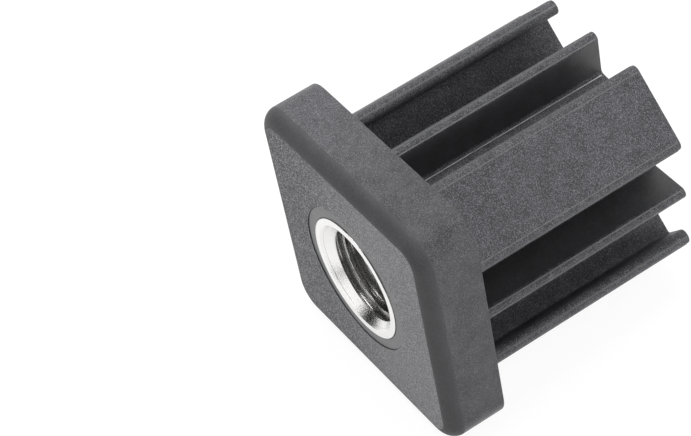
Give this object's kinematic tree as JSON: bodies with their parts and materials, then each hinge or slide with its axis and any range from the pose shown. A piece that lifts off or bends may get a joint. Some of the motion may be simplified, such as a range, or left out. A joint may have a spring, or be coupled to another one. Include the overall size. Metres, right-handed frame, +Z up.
{
  "type": "threaded tube end plug",
  "caption": "Square tube end plug with a thick rounded flange, a ribbed round hub that presses into the tube, and a moulded-in metal bush with an internal thread.",
  "frame": {"origin": "on the thread axis, in the plane of the flange's back face, which seats on the end of the tube", "axes": "+Y along the thread axis, from the flange into the tube; the mouth of the thread faces -Y; +Z up, with the plug lying on one side of its flange"},
  "size_m": [0.04, 0.044, 0.04],
  "materials": {
    "moulded_plastic": "dark grey glass-filled moulding with a fine spark-eroded grain, smooth on the sunk ring",
    "plated_steel": "bright nickel plate over turned steel, with fine turning rings on the countersink"
  },
  "bodies": {
    "root": {"plug_body": "moulded_plastic", "threaded_bush": "plated_steel"}
  },
  "joints": []
}
